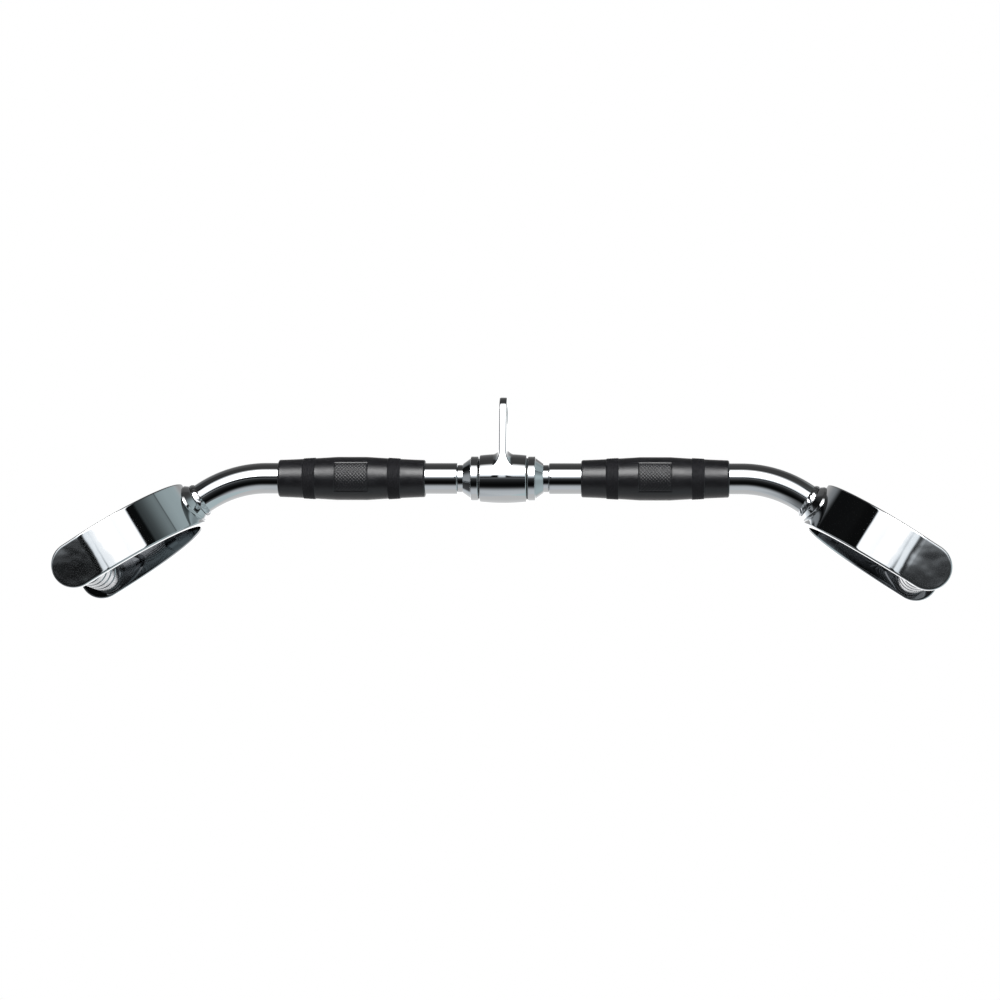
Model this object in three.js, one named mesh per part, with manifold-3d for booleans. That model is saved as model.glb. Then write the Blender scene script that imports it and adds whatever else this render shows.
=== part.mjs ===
// Lat pulldown bar: a bent tube bar that turns in a central swivel eye, with two rubber
// grips and a stirrup with a revolving hand grip at each end.
// The origin is the centre of the eye. +X runs to the right end of the bar, +Y away from
// the viewer and +Z up. Lengths are in millimetres.
import * as THREE from 'three';
import { mergeVertices } from 'three/addons/utils/BufferGeometryUtils.js';
import Module from 'manifold-3d';

const wasm = await Module();
wasm.setup();

// Clearances and steps shared by all pieces
const SEAT_GAP = 0.3; // between two pieces that seat on each other
const RUNNING_GAP = 0.4; // between a shaft and the bush that turns on it
const OVERRUN = 5; // how far a cutting shape runs past what it cuts
const MERGE_DISTANCE = 0.0001; // corners closer than this are one corner
const ROUND_SIDES = 20; // sides of a turned piece
const SLEEVE_SIDES = 32; // sides of the swivel sleeve
const BEND_STEPS = 8; // steps in the tube's bend
const ARC_STEPS = 10; // half the steps in each arc of an outline
const BACK_CUT_SIDES = 60; // sides of the round cut that clears the stirrup's back
const FILLET_STEPS = 5; // steps in a fillet or a rounded end

// Bent tube, in two halves
const TUBE_DIAMETER = 25.4;
const TUBE_WALL = 3.2;
const BEND_START = 193.3; // from the middle of the bar to the start of the bend
const BEND_RADIUS = 90.8; // of the centre line
const DROOP_ANGLE = THREE.MathUtils.degToRad(32.7);
const END_STRAIGHT = 12; // from the end of the bend to the stirrup

// Centre spindle, which joins the tube halves and carries the swivel
const SPINDLE_DIAMETER = 22.4;
const SPINDLE_TAIL_LENGTH = 30; // inside each tube half
const SPINDLE_EDGE = 0.8; // chamfer of the tails
const NECK_LENGTH = 4.1; // bare spindle between a collar and the tube

// Swivel sleeve
const SLEEVE_LENGTH = 38.4;
const SLEEVE_END_DIAMETER = 38.2;
const SLEEVE_MIDDLE_DIAMETER = 40.4;
const SLEEVE_EDGE = 0.8; // rounding of the end edges
const SLEEVE_STEPS = 8; // steps along the barrel shape

// Eye lug on the sleeve
const EYE_DIAMETER = 16;
const EYE_HEIGHT = 52; // from the bar's axis to the eye
const EYE_TOP_METAL = 14.1; // from the eye's centre to the top of the lug
const LUG_BASE_WIDTH = 38; // at the bar's axis
const LUG_TOP_WIDTH = 30; // where the top corners start
const LUG_THICKNESS = 6;
const LUG_CORNER_RADIUS = 12;
const LUG_FILLET_RADIUS = 7;
const LUG_FILLET_SINK = 0.2; // depth of the fillet's toe in the sleeve

// Bushes in the sleeve
const SWIVEL_BUSH_LENGTH = 15;
const SWIVEL_BUSH_WALL = 2.7;
const SWIVEL_FLANGE_REACH = 2.2; // of the flange beyond the bush's outside
const SWIVEL_FLANGE_THICKNESS = 1.6;
const SWIVEL_END_PLAY = 0.65; // between a sleeve end and its collar

// Stop collars on the spindle
const COLLAR_DIAMETER = 36.2;
const COLLAR_LENGTH = 6.4;
const COLLAR_EDGE = 1;
const CONE_LENGTH = 6.5;
const CONE_BASE_DIAMETER = 33.4;
const CONE_TIP_DIAMETER = 24.2;

// Rubber grips on the tube
const RUBBER_START = 63.4; // from the middle of the bar to a grip's inner end
const RUBBER_LENGTH = 120;
const RUBBER_MIDDLE_DIAMETER = 35.2;
const RUBBER_END_DIAMETER = 30.3;
const RUBBER_MIDDLE_LENGTH = 24.6; // parallel stretch in the middle
const RUBBER_BAND_START = 30.2; // from the grip's middle to a raised band
const RUBBER_BAND_WIDTH = 9;
const RUBBER_BAND_RISE = 0.5;
const RUBBER_BAND_SLOPE = 0.8; // length of the step at each side of a band
const RUBBER_LIP = 1.2; // rounding of the grip's ends
const RUBBER_TAPER_POWER_SHARE = 1.3; // 1 is a straight taper, more is hollow
const RUBBER_STEPS = 2; // steps in each stretch of the taper

// Stirrups
const STRAP_WIDTH = 38.1; // round the bow
const STRAP_END_WIDTH = 37.2; // at the arm ends
const STRAP_THICKNESS = 6.35;
const STIRRUP_INNER_WIDTH = 127;
const BOW_DEPTH = 90; // from the back of the bow to where the arms run straight
const ARM_STRAIGHT = 12.2; // from the end of the bow to the centre of the arm ends

// Boss and weld bead that join the tube to the stirrup
const BOSS_BACK_HEIGHT = 33.4; // across the strap, at the stirrup
const BOSS_FRONT_HEIGHT = 29.4;
const BOSS_LENGTH_SHARE = 1.42; // of its height, round the bow
const BOSS_THICKNESS = 4; // in its middle
const BOSS_CURVE_SHARE = 0.6; // of the bow's curve, on the boss's front
const BEAD_LENGTH = 2.8;
const BEAD_TOE = 0.5; // height of the bead where it runs out on the tube
const BEAD_CROWN = 1.7; // height of the bead at the boss
const BEAD_BULGE_SHARE = 0.25; // how far the bead's back swells out

// Revolving hand grips
const HAND_GRIP_DIAMETER = 28.6;
const HAND_GRIP_INSET = 2.8; // of the axle from the centre of the arm ends
const HAND_GRIP_END_GAP = 0.8; // between a grip end and the stirrup's arm
const HAND_GRIP_EDGE = 1.2;
const GROOVE_WIDTH = 1.6;
const GROOVE_DEPTH = 0.7;
const GROOVE_START = 5; // from each end of the grip
const GROOVE_PITCH = 4;
const GROOVE_COUNT = 2; // at each end
const AXLE_DIAMETER = 12;
const AXLE_SOCKET_DEPTH = 4;
const GRIP_BUSH_LENGTH = 16;
const GRIP_BUSH_WALL = 2.6;
const GRIP_FLANGE_REACH = 2.4;
const GRIP_FLANGE_THICKNESS = 2;

// Places worked out from the sizes above
const TUBE_RADIUS = TUBE_DIAMETER / 2;
const TUBE_BORE_RADIUS = TUBE_RADIUS - TUBE_WALL;
const SPINDLE_RADIUS = SPINDLE_DIAMETER / 2;
const COLLAR_START = SLEEVE_LENGTH / 2 + SWIVEL_END_PLAY;
const CONE_TIP = COLLAR_START + COLLAR_LENGTH + CONE_LENGTH;
const TUBE_START = CONE_TIP + NECK_LENGTH;
const JOINT_X = BEND_START + BEND_RADIUS * Math.sin(DROOP_ANGLE) + END_STRAIGHT * Math.cos(DROOP_ANGLE);
const JOINT_Z = -BEND_RADIUS * (1 - Math.cos(DROOP_ANGLE)) - END_STRAIGHT * Math.sin(DROOP_ANGLE);
const STIRRUP_INNER_HALF = STIRRUP_INNER_WIDTH / 2;
const STIRRUP_OUTER_HALF = STIRRUP_INNER_HALF + STRAP_THICKNESS;
const STIRRUP_REACH = BOW_DEPTH + ARM_STRAIGHT;
const AXLE_REACH = STIRRUP_REACH - HAND_GRIP_INSET;

// Finishes
const chrome = new THREE.MeshStandardMaterial({ color: 0xd8dadb, roughness: 0.06, metalness: 1 });
const weldMetal = new THREE.MeshStandardMaterial({ color: 0xc4c6c8, roughness: 0.25, metalness: 1 });
const steel = new THREE.MeshStandardMaterial({ color: 0x9a9c9e, roughness: 0.35, metalness: 1 });
const knurledChrome = new THREE.MeshStandardMaterial({ color: 0xcfd1d3, roughness: 0.14, metalness: 1 });
const bronze = new THREE.MeshStandardMaterial({ color: 0x9c7446, roughness: 0.4, metalness: 1 });
const rubber = new THREE.MeshStandardMaterial({ color: 0x1b1b1c, roughness: 0.75, metalness: 0 });
const nylon = new THREE.MeshStandardMaterial({ color: 0x2a2a2b, roughness: 0.55, metalness: 0 });

// Radius of a faceted bore whose flats stand a gap off the shaft inside it
function boreOver(shaftRadius, gap) {
  return (shaftRadius + gap) / Math.cos(Math.PI / ROUND_SIDES);
}

// A profile of [along, radius] pairs, turned round the X axis. The outside runs towards
// +X. The profile starts and ends on the axis, or it closes on itself.
function turned(profile, sides = ROUND_SIDES) {
  const points = profile.map(([along, radius]) => new THREE.Vector2(radius, along));
  if (points[0].x > 0) {
    points.push(points[0].clone());
  }
  const geometry = new THREE.LatheGeometry(points, sides);
  geometry.rotateZ(-Math.PI / 2);
  return geometry;
}

function ellipse(halfWidth, halfHeight, sides) {
  const points = [];
  for (let i = 0; i < sides; i += 1) {
    const angle = (2 * Math.PI * i) / sides;
    points.push(new THREE.Vector2(halfWidth * Math.cos(angle), halfHeight * Math.sin(angle)));
  }
  return points;
}

function circle(radius) {
  return ellipse(radius, radius, ROUND_SIDES);
}

// A shape drawn in the XY plane and made into a prism of the given length along Z, with
// its middle at the origin
function prismAlongZ(shape, length) {
  const geometry = new THREE.ExtrudeGeometry(shape, {
    depth: length,
    bevelEnabled: false,
    curveSegments: ARC_STEPS,
  });
  geometry.translate(0, 0, -length / 2);
  return geometry;
}

// The same along X, where the shape is drawn as Y to the right and Z up
function prismAlongX(shape, length) {
  const toX = new THREE.Matrix4().makeBasis(
    new THREE.Vector3(0, 1, 0),
    new THREE.Vector3(0, 0, 1),
    new THREE.Vector3(1, 0, 0),
  );
  return prismAlongZ(shape, length).applyMatrix4(toX);
}

// The same along Y, where the shape is drawn as X to the right and Z up
function prismAlongY(shape, length) {
  return prismAlongZ(shape, length).rotateX(Math.PI / 2);
}

// A closed mesh as a solid that can be joined and cut
function toSolid(geometry) {
  const bare = new THREE.BufferGeometry();
  bare.setAttribute('position', geometry.getAttribute('position'));
  bare.setIndex(geometry.getIndex());
  const merged = mergeVertices(bare, MERGE_DISTANCE);
  const corners = merged.getIndex().array;
  const triangles = [];
  for (let i = 0; i < corners.length; i += 3) {
    const [a, b, c] = corners.slice(i, i + 3);
    if (a !== b && b !== c && c !== a) {
      triangles.push(a, b, c);
    }
  }
  return new wasm.Manifold(new wasm.Mesh({
    numProp: 3,
    vertProperties: new Float32Array(merged.getAttribute('position').array),
    triVerts: new Uint32Array(triangles),
  }));
}

function toGeometry(solid) {
  const mesh = solid.getMesh();
  const geometry = new THREE.BufferGeometry();
  geometry.setAttribute('position', new THREE.BufferAttribute(mesh.vertProperties, 3));
  geometry.setIndex(new THREE.BufferAttribute(mesh.triVerts, 1));
  geometry.computeVertexNormals();
  return geometry;
}

function addPiece(group, name, geometry, material) {
  const mesh = new THREE.Mesh(geometry, material);
  mesh.name = name;
  group.add(mesh);
  return mesh;
}

// Bush with a flange at its +X end, which lies at zero
function flangedBush(innerRadius, outerRadius, flangeRadius, flangeThickness, length) {
  return turned([
    [-length, outerRadius],
    [-flangeThickness, outerRadius],
    [-flangeThickness, flangeRadius],
    [0, flangeRadius],
    [0, innerRadius],
    [-length, innerRadius],
  ]);
}

// Swivel: radii from the spindle outwards
const swivelBushInner = boreOver(SPINDLE_RADIUS, RUNNING_GAP);
const swivelBushOuter = swivelBushInner + SWIVEL_BUSH_WALL;
const swivelFlangeRadius = swivelBushOuter + SWIVEL_FLANGE_REACH;
const swivelFlangeFace = COLLAR_START - SEAT_GAP;
const sleeveBore = boreOver(swivelBushOuter, SEAT_GAP);
const sleeveRecess = boreOver(swivelFlangeRadius, SEAT_GAP);
const sleeveRecessFloor = swivelFlangeFace - SWIVEL_FLANGE_THICKNESS - SEAT_GAP;

function sleeveRadiusAt(x) {
  const share = x / (SLEEVE_LENGTH / 2);
  return (SLEEVE_MIDDLE_DIAMETER - (SLEEVE_MIDDLE_DIAMETER - SLEEVE_END_DIAMETER) * share * share) / 2;
}

// Barrel-shaped outside of the sleeve, bored and recessed for the bushes
function sleeveBody() {
  const half = SLEEVE_LENGTH / 2;
  const outside = [[-half, SLEEVE_END_DIAMETER / 2 - SLEEVE_EDGE]];
  for (let i = 0; i <= SLEEVE_STEPS; i += 1) {
    const x = (half - SLEEVE_EDGE) * (2 * i / SLEEVE_STEPS - 1);
    outside.push([x, sleeveRadiusAt(x)]);
  }
  outside.push([half, SLEEVE_END_DIAMETER / 2 - SLEEVE_EDGE]);
  return turned([
    ...outside,
    [half, sleeveRecess],
    [sleeveRecessFloor, sleeveRecess],
    [sleeveRecessFloor, sleeveBore],
    [-sleeveRecessFloor, sleeveBore],
    [-sleeveRecessFloor, sleeveRecess],
    [-half, sleeveRecess],
  ], SLEEVE_SIDES);
}

// Disc round the sleeve with a hollow fillet at each foot, from which the lug is cut
function lugDisc() {
  const toe = LUG_THICKNESS / 2 + LUG_FILLET_RADIUS;
  const toeRadius = sleeveRadiusAt(toe) - LUG_FILLET_SINK;
  const discRadius = Math.hypot(EYE_HEIGHT + EYE_TOP_METAL, LUG_BASE_WIDTH) + OVERRUN;
  const fillet = [];
  for (let i = 0; i <= FILLET_STEPS; i += 1) {
    const angle = (Math.PI / 2) * (i / FILLET_STEPS);
    fillet.push([
      toe - LUG_FILLET_RADIUS * Math.cos(angle),
      toeRadius + LUG_FILLET_RADIUS * (1 - Math.sin(angle)),
    ]);
  }
  const otherFillet = fillet.map(([x, radius]) => [-x, radius]).reverse();
  return turned([
    [-LUG_THICKNESS / 2, discRadius],
    [LUG_THICKNESS / 2, discRadius],
    ...fillet,
    [toe, sleeveBore],
    [-toe, sleeveBore],
    ...otherFillet,
  ], SLEEVE_SIDES);
}

// Outline of the lug as seen along the bar: it narrows to a top with round corners
function lugOutline() {
  const baseHalf = LUG_BASE_WIDTH / 2;
  const half = LUG_TOP_WIDTH / 2;
  const top = EYE_HEIGHT + EYE_TOP_METAL;
  const shape = new THREE.Shape();
  shape.moveTo(-baseHalf, 0);
  shape.lineTo(baseHalf, 0);
  shape.lineTo(half, top - LUG_CORNER_RADIUS);
  shape.absarc(half - LUG_CORNER_RADIUS, top - LUG_CORNER_RADIUS, LUG_CORNER_RADIUS, 0, Math.PI / 2);
  shape.lineTo(LUG_CORNER_RADIUS - half, top);
  shape.absarc(LUG_CORNER_RADIUS - half, top - LUG_CORNER_RADIUS, LUG_CORNER_RADIUS, Math.PI / 2, Math.PI);
  shape.closePath();
  return shape;
}

function swivelEye() {
  const lug = toSolid(lugDisc()).intersect(toSolid(prismAlongX(lugOutline(), SLEEVE_LENGTH)));
  const eye = prismAlongX(new THREE.Shape(circle(EYE_DIAMETER / 2)), LUG_THICKNESS + OVERRUN);
  eye.translate(0, 0, EYE_HEIGHT);
  const bore = turned([
    [-SLEEVE_LENGTH, 0],
    [-SLEEVE_LENGTH, sleeveBore],
    [SLEEVE_LENGTH, sleeveBore],
    [SLEEVE_LENGTH, 0],
  ], SLEEVE_SIDES);
  return toGeometry(toSolid(sleeveBody()).add(lug).subtract(toSolid(eye)).subtract(toSolid(bore)));
}

// Spindle with a thinner tail at each end
function centreSpindle() {
  const tail = TUBE_BORE_RADIUS * Math.cos(Math.PI / ROUND_SIDES) - SEAT_GAP;
  const end = TUBE_START + SPINDLE_TAIL_LENGTH;
  return turned([
    [-end, 0],
    [-end, tail - SPINDLE_EDGE],
    [SPINDLE_EDGE - end, tail],
    [-TUBE_START, tail],
    [-TUBE_START, SPINDLE_RADIUS],
    [TUBE_START, SPINDLE_RADIUS],
    [TUBE_START, tail],
    [end - SPINDLE_EDGE, tail],
    [end, tail - SPINDLE_EDGE],
    [end, 0],
  ]);
}

// Ring with a cone on its outer side
function stopCollar() {
  const bore = boreOver(SPINDLE_RADIUS, SEAT_GAP);
  const coneStart = COLLAR_START + COLLAR_LENGTH;
  return turned([
    [COLLAR_START, COLLAR_DIAMETER / 2 - COLLAR_EDGE],
    [COLLAR_START + COLLAR_EDGE, COLLAR_DIAMETER / 2],
    [coneStart - COLLAR_EDGE, COLLAR_DIAMETER / 2],
    [coneStart, CONE_BASE_DIAMETER / 2],
    [CONE_TIP, CONE_TIP_DIAMETER / 2],
    [CONE_TIP, bore],
    [COLLAR_START, bore],
  ]);
}

// Centre line of one tube half: a straight stretch, the bend and a short straight end.
// Each straight stretch is one step long, and the bend has all the others.
class TubePath extends THREE.Curve {
  getPoint(share, target = new THREE.Vector3()) {
    const station = share * (BEND_STEPS + 2);
    if (station <= 1) {
      const start = TUBE_START + SEAT_GAP;
      return target.set(start + (BEND_START - start) * station, 0, 0);
    }
    const angle = DROOP_ANGLE * Math.min((station - 1) / BEND_STEPS, 1);
    const beyond = (END_STRAIGHT + OVERRUN) * Math.max(station - 1 - BEND_STEPS, 0);
    return target.set(
      BEND_START + BEND_RADIUS * Math.sin(angle) + beyond * Math.cos(angle),
      0,
      -BEND_RADIUS * (1 - Math.cos(angle)) - beyond * Math.sin(angle),
    );
  }

  getUtoTmapping(share) {
    return share;
  }
}

// Frame of the stirrup on the bar: its X axis points along the tube's end
const stirrupFrame = new THREE.Matrix4()
  .makeRotationY(DROOP_ANGLE)
  .setPosition(JOINT_X, 0, JOINT_Z);

// A curved back like the bow's, a gap away from it and with a share of its curve
function backBeyond(gap, curveShare = 1) {
  const spread = 1 / Math.cos(Math.PI / BACK_CUT_SIDES);
  const outline = ellipse(
    (BOW_DEPTH + gap) * spread,
    ((STIRRUP_OUTER_HALF + gap) * spread) / Math.sqrt(curveShare),
    BACK_CUT_SIDES,
  );
  const geometry = prismAlongZ(new THREE.Shape(outline), STRAP_WIDTH + OVERRUN);
  return geometry.translate(BOW_DEPTH, 0, 0);
}

function barTube() {
  const section = new THREE.Shape(circle(TUBE_RADIUS));
  section.holes.push(new THREE.Path(circle(TUBE_BORE_RADIUS)));
  const sweep = new THREE.ExtrudeGeometry(section, {
    steps: BEND_STEPS + 2,
    extrudePath: new TubePath(),
    bevelEnabled: false,
  });
  const cut = backBeyond(SEAT_GAP).applyMatrix4(stirrupFrame);
  return toGeometry(toSolid(sweep).subtract(toSolid(cut)));
}

function rubberRadiusAt(distance) {
  const length = RUBBER_LENGTH / 2 - RUBBER_MIDDLE_LENGTH / 2;
  const share = Math.max(distance - RUBBER_MIDDLE_LENGTH / 2, 0) / length;
  const swell = (RUBBER_MIDDLE_DIAMETER - RUBBER_END_DIAMETER) / 2;
  return RUBBER_END_DIAMETER / 2 + swell * Math.pow(1 - share, RUBBER_TAPER_POWER_SHARE);
}

// A stretch of the rubber grip's outside, with an extra rise for a band
function rubberStretch(from, to, rise) {
  const points = [];
  for (let i = 0; i <= RUBBER_STEPS; i += 1) {
    const distance = from + (to - from) * (i / RUBBER_STEPS);
    points.push([distance, rubberRadiusAt(distance) + rise]);
  }
  return points;
}

// Rubber grip with a thick middle, thinner ends and two raised bands, middle at zero
function rubberGrip() {
  const half = RUBBER_LENGTH / 2;
  const bandEnd = RUBBER_BAND_START + RUBBER_BAND_WIDTH;
  const bore = boreOver(TUBE_RADIUS, SEAT_GAP);
  const halfOutside = [
    ...rubberStretch(RUBBER_MIDDLE_LENGTH / 2, RUBBER_BAND_START - RUBBER_BAND_SLOPE, 0),
    [RUBBER_BAND_START, rubberRadiusAt(RUBBER_BAND_START) + RUBBER_BAND_RISE],
    [bandEnd, rubberRadiusAt(bandEnd) + RUBBER_BAND_RISE],
    ...rubberStretch(bandEnd + RUBBER_BAND_SLOPE, half - RUBBER_LIP, 0),
    [half, RUBBER_END_DIAMETER / 2 - RUBBER_LIP],
  ];
  const otherHalf = halfOutside.map(([x, radius]) => [-x, radius]).reverse();
  return turned([...otherHalf, ...halfOutside, [half, bore], [-half, bore]]);
}

// Boss round the tube's end, in the stirrup's frame: an oval pad on the bow's back
function endBoss() {
  const low = -BOSS_THICKNESS - OVERRUN;
  const high = BOW_DEPTH / 2;
  const bore = boreOver(TUBE_RADIUS, SEAT_GAP);
  const oval = turned([
    [low, 0],
    [low, BOSS_FRONT_HEIGHT / 2],
    [-BOSS_THICKNESS, BOSS_FRONT_HEIGHT / 2],
    [0, BOSS_BACK_HEIGHT / 2],
    [high, BOSS_BACK_HEIGHT / 2],
    [high, 0],
  ]).scale(1, BOSS_LENGTH_SHARE, 1);
  const hole = turned([[low - OVERRUN, 0], [low - OVERRUN, bore], [high + OVERRUN, bore], [high + OVERRUN, 0]]);
  const front = toSolid(backBeyond(SEAT_GAP + BOSS_THICKNESS, BOSS_CURVE_SHARE));
  const ring = toSolid(oval).subtract(toSolid(hole));
  return toGeometry(ring.intersect(front).subtract(toSolid(backBeyond(SEAT_GAP))));
}

// Weld bead round the tube against the boss
function weldBead() {
  const bore = boreOver(TUBE_RADIUS, SEAT_GAP);
  const backGap = BOSS_THICKNESS + 2 * SEAT_GAP;
  const outside = [];
  for (let i = 0; i <= FILLET_STEPS; i += 1) {
    const share = i / FILLET_STEPS;
    const swell = BEAD_BULGE_SHARE * Math.sin(Math.PI * share);
    const height = BEAD_TOE + (BEAD_CROWN - BEAD_TOE) * (share + swell);
    outside.push([-backGap - BEAD_LENGTH * (1 - share), TUBE_RADIUS + height]);
  }
  const blank = turned([
    ...outside,
    [0, TUBE_RADIUS + BEAD_CROWN],
    [0, bore],
    [-backGap - BEAD_LENGTH, bore],
  ]);
  return toGeometry(toSolid(blank).subtract(toSolid(backBeyond(backGap, BOSS_CURVE_SHARE))));
}

// Outline of the stirrup as seen across its strap: half an ellipse with two straight arms
function bowOutline() {
  const armEnd = STIRRUP_REACH + STRAP_WIDTH / 2;
  const right = Math.PI / 2;
  const shape = new THREE.Shape();
  shape.moveTo(armEnd, -STIRRUP_OUTER_HALF);
  shape.lineTo(BOW_DEPTH, -STIRRUP_OUTER_HALF);
  shape.absellipse(BOW_DEPTH, 0, BOW_DEPTH, STIRRUP_OUTER_HALF, -right, right, true);
  shape.lineTo(armEnd, STIRRUP_OUTER_HALF);
  shape.lineTo(armEnd, STIRRUP_INNER_HALF);
  shape.absellipse(BOW_DEPTH, 0, BOW_DEPTH - STRAP_THICKNESS, STIRRUP_INNER_HALF, right, -right, false);
  shape.lineTo(armEnd, -STIRRUP_INNER_HALF);
  shape.closePath();
  return shape;
}

// Outline of an arm as seen from its flat side: it narrows a little towards its round end
function armOutline() {
  const half = STRAP_WIDTH / 2;
  const endHalf = STRAP_END_WIDTH / 2;
  const shape = new THREE.Shape();
  shape.moveTo(-OVERRUN, -half);
  shape.lineTo(BOW_DEPTH / 2, -half);
  shape.lineTo(STIRRUP_REACH, -endHalf);
  shape.absarc(STIRRUP_REACH, 0, endHalf, -Math.PI / 2, Math.PI / 2, false);
  shape.lineTo(BOW_DEPTH / 2, half);
  shape.lineTo(-OVERRUN, half);
  shape.closePath();
  return shape;
}

// U-bent strap with round arm ends and a blind socket in each arm for the axle
function stirrupStrap() {
  const bow = toSolid(prismAlongZ(bowOutline(), STRAP_WIDTH + OVERRUN));
  const sides = toSolid(prismAlongY(armOutline(), STIRRUP_OUTER_HALF * 2 + OVERRUN));
  const socket = prismAlongY(
    new THREE.Shape(circle(boreOver(AXLE_DIAMETER / 2, SEAT_GAP))),
    STIRRUP_INNER_WIDTH + 2 * AXLE_SOCKET_DEPTH,
  );
  socket.translate(AXLE_REACH, 0, 0);
  return toGeometry(bow.intersect(sides).subtract(toSolid(socket)));
}

// Plain rod between the two sockets, along X
function handleAxle() {
  const half = STIRRUP_INNER_HALF + AXLE_SOCKET_DEPTH - SEAT_GAP;
  const radius = AXLE_DIAMETER / 2;
  return turned([[-half, 0], [-half, radius], [half, radius], [half, 0]]);
}

// Hand grip: radii from the axle outwards
const gripBushInner = boreOver(AXLE_DIAMETER / 2, RUNNING_GAP);
const gripBushOuter = gripBushInner + GRIP_BUSH_WALL;
const gripFlangeRadius = gripBushOuter + GRIP_FLANGE_REACH;
const gripFlangeFace = STIRRUP_INNER_HALF - SEAT_GAP;
const gripHalfLength = STIRRUP_INNER_HALF - HAND_GRIP_END_GAP;

// Hand grip along X with ring grooves near its ends and a recess for each bush's flange
function handGrip() {
  const radius = HAND_GRIP_DIAMETER / 2;
  const bore = boreOver(gripBushOuter, SEAT_GAP);
  const recess = boreOver(gripFlangeRadius, SEAT_GAP);
  const recessFloor = gripFlangeFace - GRIP_FLANGE_THICKNESS - SEAT_GAP;
  const halfOutside = [];
  for (let i = GROOVE_COUNT - 1; i >= 0; i -= 1) {
    const outer = gripHalfLength - GROOVE_START - GROOVE_PITCH * i;
    halfOutside.push([outer - GROOVE_WIDTH, radius]);
    halfOutside.push([outer - GROOVE_WIDTH / 2, radius - GROOVE_DEPTH]);
    halfOutside.push([outer, radius]);
  }
  halfOutside.push([gripHalfLength - HAND_GRIP_EDGE, radius]);
  halfOutside.push([gripHalfLength, radius - HAND_GRIP_EDGE]);
  const otherHalf = halfOutside.map(([x, r]) => [-x, r]).reverse();
  return turned([
    ...otherHalf,
    ...halfOutside,
    [gripHalfLength, recess],
    [recessFloor, recess],
    [recessFloor, bore],
    [-recessFloor, bore],
    [-recessFloor, recess],
    [-gripHalfLength, recess],
  ]);
}

// The part hangs from the eye, so the bar's axis lies below the origin
const part = new THREE.Group();
const bar = new THREE.Group();
bar.position.z = -EYE_HEIGHT;
part.add(bar);

addPiece(bar, 'swivel_eye', swivelEye(), chrome);
addPiece(bar, 'centre_spindle', centreSpindle(), chrome);

// Both halves are alike, so the left one is the right one turned round the vertical
for (const sideName of ['left', 'right']) {
  const isLeft = sideName === 'left';
  const side = new THREE.Group();
  side.rotation.z = isLeft ? Math.PI : 0;
  bar.add(side);

  const swivelBush = flangedBush(
    swivelBushInner,
    swivelBushOuter,
    swivelFlangeRadius,
    SWIVEL_FLANGE_THICKNESS,
    SWIVEL_BUSH_LENGTH,
  );
  const bushMesh = addPiece(side, `swivel_bush_${sideName}`, swivelBush, bronze);
  bushMesh.position.x = swivelFlangeFace;

  addPiece(side, `stop_collar_${sideName}`, stopCollar(), chrome);
  addPiece(side, `bar_tube_${sideName}`, barTube(), chrome);

  const rubberMesh = addPiece(side, `rubber_grip_${sideName}`, rubberGrip(), rubber);
  rubberMesh.position.x = RUBBER_START + RUBBER_LENGTH / 2;

  const stirrup = new THREE.Group();
  stirrup.position.set(JOINT_X, 0, JOINT_Z);
  stirrup.rotation.y = DROOP_ANGLE;
  side.add(stirrup);
  addPiece(stirrup, `end_boss_${sideName}`, endBoss(), chrome);
  addPiece(stirrup, `weld_bead_${sideName}`, weldBead(), weldMetal);
  addPiece(stirrup, `stirrup_strap_${sideName}`, stirrupStrap(), chrome);

  // The handle lies across the arms, with its own X axis towards the back arm
  const handle = new THREE.Group();
  handle.position.x = AXLE_REACH;
  handle.rotation.z = Math.PI / 2;
  stirrup.add(handle);
  addPiece(handle, `handle_axle_${sideName}`, handleAxle(), steel);
  addPiece(handle, `hand_grip_${sideName}`, handGrip(), knurledChrome);
  for (const endName of ['front', 'back']) {
    const end = new THREE.Group();
    end.rotation.z = (endName === 'front') === isLeft ? 0 : Math.PI;
    handle.add(end);
    const gripBush = flangedBush(
      gripBushInner,
      gripBushOuter,
      gripFlangeRadius,
      GRIP_FLANGE_THICKNESS,
      GRIP_BUSH_LENGTH,
    );
    const mesh = addPiece(end, `grip_bush_${sideName}_${endName}`, gripBush, nylon);
    mesh.position.x = gripFlangeFace;
  }
}

export default part;
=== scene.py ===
"""Lat pulldown bar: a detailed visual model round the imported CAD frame, in metres."""

import math

import bmesh
import bpy
from mathutils import Matrix, Vector
from mathutils.geometry import delaunay_2d_cdt


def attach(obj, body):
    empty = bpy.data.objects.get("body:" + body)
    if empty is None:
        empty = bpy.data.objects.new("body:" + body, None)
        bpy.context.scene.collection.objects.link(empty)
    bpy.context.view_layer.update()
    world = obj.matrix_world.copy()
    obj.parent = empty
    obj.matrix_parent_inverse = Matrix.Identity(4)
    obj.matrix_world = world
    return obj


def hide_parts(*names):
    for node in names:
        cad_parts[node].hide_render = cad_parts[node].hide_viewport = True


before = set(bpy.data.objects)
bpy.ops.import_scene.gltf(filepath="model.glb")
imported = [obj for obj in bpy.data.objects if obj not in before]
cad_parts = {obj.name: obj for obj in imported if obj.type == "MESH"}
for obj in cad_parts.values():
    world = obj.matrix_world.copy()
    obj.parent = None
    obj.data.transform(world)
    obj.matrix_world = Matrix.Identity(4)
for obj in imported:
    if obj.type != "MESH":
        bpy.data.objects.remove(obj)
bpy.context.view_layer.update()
scene = bpy.context.scene

MM = 0.001
TURN = 2 * math.pi
QUARTER = math.pi / 2

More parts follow.
